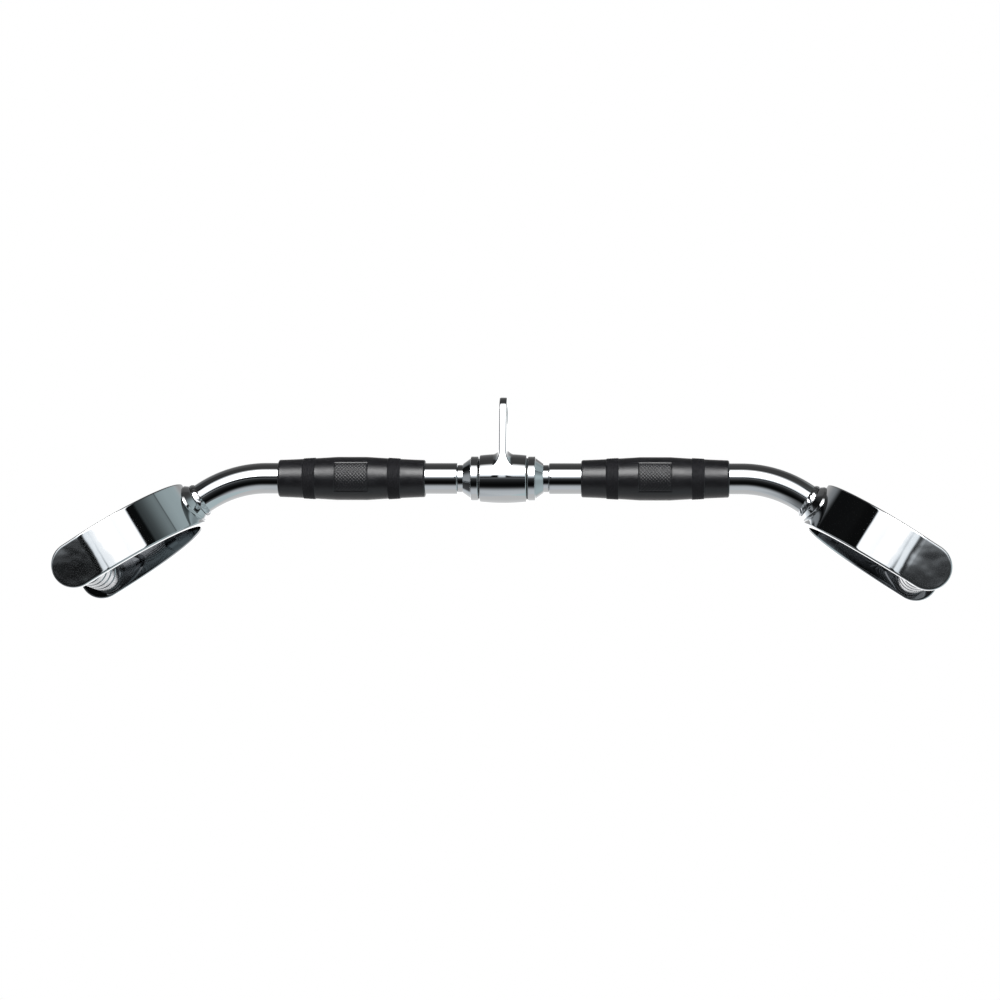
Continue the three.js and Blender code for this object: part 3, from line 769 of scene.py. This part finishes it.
def build_bead(side):
    """Rippled weld that climbs from the tube to the boss."""
    seed = WELD_SEEDS[side]
    length = BOSS_FRONT - BEAD_TOE

    def ripple(along, radius, angle):
        share = clamped((along - BEAD_TOE) / length)
        reach = along + share * BOSS_CURVE_SHARE * bow_fall(radius * math.cos(angle))
        if radius <= WELD_BORE_RADIUS:
            return reach, radius
        turn = angle / TURN * RIPPLES + 0.5 * share * share + 0.12 * lumps(angle, 0.0, seed + 2)
        cell = math.floor(turn)
        rise = math.sin(math.pi * (turn - cell)) ** 0.8
        size = 0.5 + 0.7 * lattice_noise(cell % RIPPLES, 3, 5 + seed)
        lift = math.sin(math.pi * min(share * 1.1, 1.0)) + 0.25 * share
        return (
            reach - 0.6 * rise * size * (1 - share),
            radius + 0.4 * rise * size * lift + 0.12 * lift * lumps(angle, along, seed),
        )

    profile = []
    for k in range(BEAD_STEPS + 1):
        share = k / BEAD_STEPS
        climb = share ** 1.2 + 0.2 * math.sin(math.pi * share)
        profile.append((BEAD_TOE + length * share, BEAD_TOE_RADIUS + BEAD_RISE * climb))
    profile += [(BOSS_FRONT, WELD_BORE_RADIUS), (BEAD_TOE, WELD_BORE_RADIUS)]
    bead = turned(
        f"bead_{side}", profile, stirrup_frame(side),
        WELD, RIPPLES * RIPPLE_SIDES, ripple, sharp=75, weighted=False)
    dress(bead, "bar", "plated_weld", f"weld_bead_{side}")


# ---------------------------------------------------------------- stirrups
STRAP_EDGE = 1.3
STRAP_EDGE_STEPS = 7
STRAP_BOW_STEPS = 128
STRAP_END_STEPS = 48


def strap_section(half_width):
    """Half of the strap's section, from the middle of one flat face to that of the other."""
    inner = half_width - STRAP_EDGE
    upper = [(inner * share, STRAP_HALF_THICKNESS) for share in (0.0, 0.25, 0.5, 0.75, 0.95)]
    upper += [
        (inner + STRAP_EDGE * out, STRAP_HALF_THICKNESS - STRAP_EDGE * down)
        for out, down in quarter_arc(STRAP_EDGE_STEPS)
    ]
    return upper + [(d, -t) for d, t in reversed(upper)]


def strap_path():
    """Stations (u, v, normal u, normal v) along the strap's middle, from arm end to arm end."""
    depth, half = BOW_DEPTH - STRAP_HALF_THICKNESS, STRAP_MIDDLE_HALF
    arm = [STIRRUP_REACH, BOW_DEPTH + 6.5]
    stations = [(u, -half, 0.0, -1.0) for u in arm]
    for k in range(STRAP_BOW_STEPS + 1):
        angle = math.pi * k / STRAP_BOW_STEPS - QUARTER
        u, v = BOW_DEPTH - depth * math.cos(angle), half * math.sin(angle)
        out = Vector((-math.cos(angle) / depth, math.sin(angle) / half)).normalized()
        stations.append((u, v, out.x, out.y))
    return stations + [(u, half, 0.0, 1.0) for u in reversed(arm)]


def build_strap(side):
    """U-bent strap with round arm ends. Its inside faces get a darker chrome colour as painted
    shade.
    """
    points, heights, rings, faces = [], [], [], []
    for u, v, out_u, out_v in strap_path():
        share = clamped((u - BOW_DEPTH / 2) / (STIRRUP_REACH - BOW_DEPTH / 2))
        section = strap_section(
            STRAP_HALF_WIDTH + (STRAP_END_HALF_WIDTH - STRAP_HALF_WIDTH) * share)
        loop = section + mirrored(section[1:-1])
        rings.append(list(range(len(points), len(points) + len(loop))))
        points += [(u + out_u * t, v + out_v * t, d) for d, t in loop]
        heights += [t for _, t in loop]
    for low, high in zip(rings, rings[1:]):
        faces += band(low, high)

    section = strap_section(STRAP_END_HALF_WIDTH)
    last = len(section) - 1
    for ring, sign in ((rings[0], -1), (rings[-1], 1)):
        columns = [ring[:last + 1]]
        for k in range(1, STRAP_END_STEPS):
            angle = math.pi * k / STRAP_END_STEPS
            column = [ring[0]]
            for d, t in section[1:-1]:
                column.append(len(points))
                heights.append(t)
                points.append((
                    STIRRUP_REACH + d * math.sin(angle),
                    sign * (STRAP_MIDDLE_HALF + t),
                    d * math.cos(angle),
                ))
            columns.append(column + [ring[last]])
        columns.append([ring[0], *reversed(ring[last + 1:]), ring[last]])
        for a, b in zip(columns, columns[1:]):
            faces += [without_repeats([a[j], a[j + 1], b[j + 1], b[j]]) for j in range(last)]

    strap = make_piece(f"strap_{side}", points, faces, stirrup_frame(side), ARM_CHROME, sharp=60)
    # The inside faces take the darker chrome, painted shade for the inside of the bow.
    strap.data.materials.append(PAINTED_SHADE_CHROME)
    for face in strap.data.polygons:
        if all(heights[v] < 0.01 - STRAP_HALF_THICKNESS for v in face.vertices):
            face.material_index = 1
    dress(strap, "bar", "chrome_plate", f"stirrup_strap_{side}")


# ---------------------------------------------------------------- hand grips
KNURL_SIDES = 224
KNURL_ROWS = 256
KNURL_HALF = 51.2
KNURL_DEPTH = 0.09
GROOVE_DEPTH = 0.7
WIDE_GROOVES = (10.2, 30.6)  # to each side of the middle
WIDE_GROOVE_HALF = 3.0


def knurl_depth(x, row, column):
    """How deep the surface is sunk: wide grooves, else fine lines along both diagonals."""
    if any(abs(abs(x) - groove) < WIDE_GROOVE_HALF for groove in WIDE_GROOVES):
        return GROOVE_DEPTH
    return KNURL_DEPTH if 0 in ((row + column) % 4, (row - column) % 4) else 0.0


def hand_grip_mesh():
    """Hollow grip. The knurled part is split into triangles that follow its lines."""
    bottom = GRIP_RADIUS - GROOVE_DEPTH
    end = soften([
        (51.4, GRIP_RADIUS - 0.5), (51.45, GRIP_RADIUS - 0.5), (51.5, GRIP_RADIUS, 0.12),
        (52.1, GRIP_RADIUS, 0.12), (52.2, bottom, 0.1), (53.6, bottom, 0.1),
        (53.7, GRIP_RADIUS, 0.15), (56.1, GRIP_RADIUS, 0.15), (56.2, bottom, 0.1),
        (57.6, bottom, 0.1), (57.7, GRIP_RADIUS, 0.15), (GRIP_HALF, GRIP_RADIUS, 1.2),
        (GRIP_HALF, 11.9, 0.3), (60.9, 11.9), (60.9, 9.4),
    ], False, 3)
    knurled = [
        (KNURL_HALF * (2 * k / KNURL_ROWS - 1), GRIP_RADIUS) for k in range(KNURL_ROWS + 1)
    ]
    profile = mirrored(end) + knurled + end
    points, faces = [], []
    for i, (x, radius) in enumerate(profile):
        row = i - len(end)
        for j in range(KNURL_SIDES):
            angle = TURN * j / KNURL_SIDES
            r = radius - (knurl_depth(x, row, j) if 0 <= row <= KNURL_ROWS else 0.0)
            points.append((x, -r * math.cos(angle), r * math.sin(angle)))
    for i in range(len(profile)):
        row = i - len(end)
        low, high = i * KNURL_SIDES, (i + 1) % len(profile) * KNURL_SIDES
        for j in range(KNURL_SIDES):
            k = (j + 1) % KNURL_SIDES
            a, b, c, d = low + j, low + k, high + k, high + j
            if not 0 <= row < KNURL_ROWS:
                faces.append((a, b, c, d))
            elif (row + j + 1) % 4 == 0:
                faces += [(a, b, d), (b, c, d)]
            else:
                faces += [(a, b, c), (a, c, d)]
    return points, faces


def build_hand_grip(side):
    place = handle_frame(side)
    half = [(AXLE_HALF, AXLE_RADIUS, 0.5), (AXLE_HALF, 0)]
    axle = turned(f"axle_{side}", soften(mirrored(half) + half, False), place, STEEL, 48)
    dress(axle, "bar", "axle_steel", f"handle_axle_{side}")
    grip = make_piece(
        f"knurled_grip_{side}", *hand_grip_mesh(), place, KNURL, sharp=20, weighted=False)
    dress(grip, f"{side}_grip", "knurled_chrome", f"hand_grip_{side}")
    profile = soften([
        (47.2, 9.05, 0.2), (61.2, 9.05), (61.2, 11.5, 0.3),
        (63.2, 11.5, 0.3), (63.2, 6.45, 0.3), (47.2, 6.45, 0.3),
    ], True)
    for end in ("front", "back"):
        turn = 0 if (end == "front") == (side == "left") else math.pi
        at_end = placed(place, Matrix.Rotation(turn, 4, "Z"))
        bush = turned(f"sleeve_bush_{side}_{end}", profile, at_end, NYLON, 64)
        dress(bush, f"{side}_grip", "bush_nylon", f"grip_bush_{side}_{end}")


build_swivel()
build_spindle()
for side_name in ("left", "right"):
    build_collar(side_name)
    build_tube(side_name)
    build_rubber(side_name)
    build_boss(side_name)
    build_bead(side_name)
    build_strap(side_name)
    build_hand_grip(side_name)


# ---------------------------------------------------------------- camera
CAMERA_DEGREES = (2.8, -5.346, 0.354)  # azimuth, elevation, roll
CAMERA_DISTANCE = 2.686
PICTURE_PIXELS = 1000
FOCAL_PIXELS = 3300.0
AXIS_PIXEL = (503.4, 478.69)  # where the middle of the bar's axis shows
SENSOR_WIDTH = 36


def build_camera():
    azimuth, elevation, roll = (math.radians(a) for a in CAMERA_DEGREES)
    forward = Vector((
        -math.sin(azimuth) * math.cos(elevation),
        math.cos(azimuth) * math.cos(elevation),
        -math.sin(elevation),
    ))
    right = Vector((math.cos(azimuth), math.sin(azimuth), 0))
    up = right.cross(forward)
    tilted_right = right * math.cos(roll) + up * math.sin(roll)
    tilted_up = up * math.cos(roll) - right * math.sin(roll)
    metres_per_pixel = CAMERA_DISTANCE / FOCAL_PIXELS
    off_right, off_down = (pixel - PICTURE_PIXELS / 2 for pixel in AXIS_PIXEL)
    position = (
        Vector((0, 0, -EYE_HEIGHT * MM)) - forward * CAMERA_DISTANCE
        - tilted_right * off_right * metres_per_pixel
        + tilted_up * off_down * metres_per_pixel
    )
    data = bpy.data.cameras.new("camera")
    data.sensor_width = SENSOR_WIDTH
    data.lens = FOCAL_PIXELS / PICTURE_PIXELS * SENSOR_WIDTH
    data.clip_end = 100
    camera = bpy.data.objects.new("camera", data)
    turn = Matrix((tilted_right, tilted_up, -forward)).transposed()
    camera.matrix_world = Matrix.Translation(position) @ turn.to_4x4()
    scene.collection.objects.link(camera)
    scene.camera = camera


build_camera()


# ---------------------------------------------------------------- studio
MIRROR = 0.67  # share of the studio's light that the chrome gives back
SOFTBOX_GAIN = 8.0
SOFTBOX_AZIMUTH = math.radians(-3.0)
SOFTBOX_ELEVATION = math.radians(33.5)
PLAIN_LEVEL = 0.45  # for everything but gloss and the camera

# The made-up studio's walls as (degrees of elevation, 8-bit value that shows in the chrome).
# Azimuth 0 is in front of the part, where the camera is, and grows to its right.
FRONT_WALL = (
    (-90, 187), (-65, 176), (-63, 165), (-57, 140), (-52, 95), (-49, 66), (-45, 30), (-41, 13),
    (-34, 8), (-28, 13), (-23, 18), (-19, 27), (-14, 38), (-9, 47), (-4, 75), (0, 125),
    (3, 175), (6, 215), (9, 238), (16, 246), (24, 258), (90, 268),
)
DARK_CARD = (
    (-90, 187), (-65, 174), (-57, 140), (-50, 100), (-40, 60), (-30, 50), (-15, 60), (5, 40),
    (15, 14), (40, 10), (50, 30), (60, 48), (90, 60),
)
LEFT_WALL = (
    (-90, 185), (-65, 160), (-55, 110), (-45, 88), (-40, 84), (-30, 60), (-20, 43), (-14, 60),
    (-9, 150), (10, 140), (16, 110), (22, 60), (30, 18), (40, 13), (45, 34), (50, 44),
    (60, 48), (90, 58),
)
RIGHT_WALL = (
    (-90, 185), (-65, 178), (-50, 180), (-40, 170), (-20, 150), (-10, 150), (0, 172), (10, 180),
    (20, 178), (30, 165), (42, 155), (48, 120), (54, 70), (60, 56), (90, 60),
)
BACK_WALL = (
    (-90, 178), (-60, 180), (-50, 184), (-30, 193), (-20, 205), (-14, 240), (-8, 258), (10, 258),
    (14, 220), (18, 160), (25, 150), (30, 134), (35, 113), (45, 94), (60, 76), (75, 62),
    (90, 60),
)
# Shade on the upper right wall as (degrees of azimuth, share of light left)
RIGHT_SHADE = (
    (43, 0.01), (45.5, 0.11), (48, 0.12), (54, 0.19), (60, 0.31), (66, 0.43), (72, 0.53),
    (78, 0.51), (79, 0.12), (80.5, 0.8), (90, 0.93), (100, 1.0),
)
LAMP_DISTANCE = 2.2
LAMP_AIM = (0, 0, -0.08)
# Name, direction from the part, width in metres, watts
LAMPS = (
    ("key", (-0.0510, -0.7296, 0.6820), 0.4, 30),
    ("fill_right", (1.0, -0.5, 0.25), 1.2, 9),
    ("fill_left", (-1.0, -0.4, 0.3), 1.2, 7),
    ("rear", (0.2, 1.0, 0.9), 1.2, 10),
)
FLOOR_REACH = 4.4
FLOOR_LEVEL = -0.75


def seen(value):
    """Studio level that shows in the chrome as an 8-bit picture value."""
    share = value / 255
    linear = share / 12.92 if share <= 0.04045 else ((share + 0.055) / 1.055) ** 2.4
    return linear / MIRROR


def wall(graph, elevation, pairs):
    height = graph.math("MULTIPLY_ADD", elevation, 1 / math.pi, 0.5)
    return graph.ramp(height, [(degrees / 180 + 0.5, seen(value)) for degrees, value in pairs])


def side_levels(graph, azimuth, elevation):
    """Levels all round, without the front wall."""
    dark, left, right, back = (
        wall(graph, elevation, pairs) for pairs in (DARK_CARD, LEFT_WALL, RIGHT_WALL, BACK_WALL)
    )
    bearing = graph.math("MULTIPLY_ADD", azimuth, 1 / TURN, 0.5)
    shade = graph.ramp(bearing, [(degrees / 360 + 0.5, level) for degrees, level in RIGHT_SHADE])
    shaded = graph.times(
        graph.spread_degrees(elevation, 5, 22),
        graph.spread_degrees(elevation, 46, 56, 1.0, 0.0),
    )
    right = graph.times(right, graph.mix(shaded, 1.0, shade))
    level = graph.mix(graph.spread_degrees(azimuth, 36, 38), dark, right)
    level = graph.mix(graph.spread_degrees(azimuth, 135, 155), level, back)
    level = graph.mix(graph.spread_degrees(azimuth, -60, -48, 1.0, 0.0), level, left)
    return graph.mix(graph.spread_degrees(azimuth, -126, -108, 1.0, 0.0), level, back)


def front_level(graph, elevation, away, later):
    """Front wall with the softbox's bright middle, which later reflections see plain."""
    gain = graph.spread_degrees(away, 14, 22, SOFTBOX_GAIN, 1.0)
    return graph.times(wall(graph, elevation, FRONT_WALL), graph.mix(later, gain, 1.0))


def front_share(graph, elevation, away, off_axis):
    """Where the front wall shows: the softbox's disc and a narrow strip under it."""
    upper = graph.spread_degrees(elevation, 36, 52)
    rim_in = graph.mix(upper, math.radians(30.2), math.radians(22.5))
    rim_out = graph.mix(upper, math.radians(31.6), math.radians(38))
    disc = graph.spread(away, rim_in, rim_out, 1.0, 0.0)
    strip = graph.times(
        graph.spread_degrees(off_axis, 24, 34, 1.0, 0.0),
        graph.spread_degrees(elevation, 4, 14, 1.0, 0.0),
    )
    return graph.math("MAXIMUM", disc, strip)


def dark_patch(graph, azimuth, elevation, off_axis):
    """Share and level of the dark shapes under the softbox, to both sides of the middle."""
    right_part = graph.spread_degrees(azimuth, -2, 4)
    left_top = graph.spread_degrees(azimuth, -9.6, -8.4, math.radians(5.4), math.radians(10.4))
    top = graph.mix(right_part, left_top, math.radians(5.2))
    above = graph.math("SUBTRACT", elevation, top)
    share = graph.times(
        graph.spread_degrees(off_axis, 1.4, 2.8),
        graph.spread_degrees(off_axis, 16, 22, 1.0, 0.0),
    )
    share = graph.times(share, graph.spread_degrees(elevation, -3, 1))
    share = graph.times(share, graph.spread_degrees(above, -1.3, 1.3, 1.0, 0.0))
    return share, graph.mix(right_part, seen(16), seen(42))


def studio_tint(graph, azimuth, elevation, reflected, glossy):
    """Cool colour of the darker walls. The top and the back are neutral."""
    off_front = graph.math("ABSOLUTE", azimuth)
    neutral = graph.math(
        "MAXIMUM",
        graph.spread_degrees(elevation, 44, 62),
        graph.spread_degrees(off_front, 126, 150),
    )
    cool = graph.times(glossy, graph.spread(reflected, 1.2, 1.5, 1.0, 0.0))
    cool = graph.times(cool, graph.math("SUBTRACT", 1.0, neutral))
    to_right = graph.spread_degrees(azimuth, 36, 44)
    tint = graph.mix_colour(to_right, (0.90, 0.955, 1.0, 1), (0.80, 0.965, 1.0, 1))
    return graph.mix_colour(cool, (1, 1, 1, 1), tint)


def build_world():
    """White for the camera, the studio in gloss and plain grey for the rest."""
    world = bpy.data.worlds.new("studio")
    scene.world = world
    world.use_nodes = True
    world.node_tree.nodes.clear()
    graph = Graph(world.node_tree)
    direction = graph.add("ShaderNodeTexCoord").outputs["Generated"]
    x, y, z = graph.axes(direction)
    elevation = graph.math("ARCSINE", z)
    azimuth = graph.math("ARCTAN2", x, graph.times(y, -1.0))
    off_axis = graph.math("ABSOLUTE", graph.math("SUBTRACT", azimuth, SOFTBOX_AZIMUTH))
    dot = graph.add("ShaderNodeVectorMath", operation="DOT_PRODUCT")
    graph.feed(dot.inputs[0], direction)
    graph.feed(dot.inputs[1], Vector((
        math.sin(SOFTBOX_AZIMUTH) * math.cos(SOFTBOX_ELEVATION),
        -math.cos(SOFTBOX_AZIMUTH) * math.cos(SOFTBOX_ELEVATION),
        math.sin(SOFTBOX_ELEVATION),
    )))
    away = graph.math("ARCCOSINE", dot.outputs["Value"])
    path = graph.add("ShaderNodeLightPath")
    glossy = path.outputs["Is Glossy Ray"]
    later = graph.math("GREATER_THAN", path.outputs["Glossy Depth"], 1.5)

    reflected = graph.mix(
        front_share(graph, elevation, away, off_axis),
        side_levels(graph, azimuth, elevation),
        front_level(graph, elevation, away, later),
    )
    patch_share, patch_level = dark_patch(graph, azimuth, elevation, off_axis)
    reflected = graph.mix(patch_share, reflected, patch_level)
    level = graph.mix(glossy, PLAIN_LEVEL, reflected)
    level = graph.mix(path.outputs["Is Camera Ray"], level, 1.0)
    background = graph.add("ShaderNodeBackground")
    graph.feed(
        background.inputs["Color"],
        studio_tint(graph, azimuth, elevation, reflected, glossy),
    )
    graph.feed(background.inputs["Strength"], level)
    output = graph.add("ShaderNodeOutputWorld")
    graph.feed(output.inputs["Surface"], background.outputs[0])


def build_lamp(name, direction, size, energy):
    """Round lamp that faces the part and shows neither in gloss nor to the camera."""
    data = bpy.data.lights.new(name, "AREA")
    data.shape = "DISK"
    data.size = size
    data.energy = energy
    lamp = bpy.data.objects.new(name, data)
    spot = Vector(direction).normalized()
    lamp.location = spot * LAMP_DISTANCE + Vector(LAMP_AIM)
    lamp.rotation_euler = spot.to_track_quat("Z", "Y").to_euler()
    lamp.visible_glossy = False
    lamp.visible_camera = False
    scene.collection.objects.link(lamp)


def floor_material():
    """Pale floor that glows towards its edge, so that it runs into the white behind it."""
    material = bpy.data.materials.new("pale_floor")
    material.use_nodes = True
    material.node_tree.nodes.clear()
    graph = Graph(material.node_tree)
    spot = graph.add("ShaderNodeTexCoord").outputs["Object"]
    tone = graph.mix_colour(
        graph.noise(spot, 1.5, 2.0), (0.86, 0.86, 0.86, 1), (0.88, 0.88, 0.88, 1))
    diffuse = graph.add("ShaderNodeBsdfDiffuse")
    graph.feed(diffuse.inputs["Color"], tone)
    far = graph.add("ShaderNodeVectorMath", operation="LENGTH")
    graph.feed(far.inputs[0], spot)
    fade = graph.spread(far.outputs["Value"], 1.0, 3.8, 0.0, 0.63)
    path = graph.add("ShaderNodeLightPath")
    glow = graph.add("ShaderNodeEmission")
    graph.feed(glow.inputs["Strength"], graph.times(path.outputs["Is Camera Ray"], fade))
    both = graph.add("ShaderNodeAddShader")
    graph.feed(both.inputs[0], diffuse.outputs[0])
    graph.feed(both.inputs[1], glow.outputs[0])
    output = graph.add("ShaderNodeOutputMaterial")
    graph.feed(output.inputs["Surface"], both.outputs[0])
    return material


def build_floor():
    mesh = bpy.data.meshes.new("floor")
    corners = [
        (x * FLOOR_REACH, y * FLOOR_REACH, FLOOR_LEVEL)
        for x, y in ((-1, -1), (1, -1), (1, 1), (-1, 1))
    ]
    mesh.from_pydata(corners, [], [(0, 1, 2, 3)])
    mesh.materials.append(floor_material())
    floor = bpy.data.objects.new("floor", mesh)
    floor.visible_glossy = False
    scene.collection.objects.link(floor)


build_world()
for lamp_settings in LAMPS:
    build_lamp(*lamp_settings)
build_floor()

scene.view_settings.view_transform = "Standard"
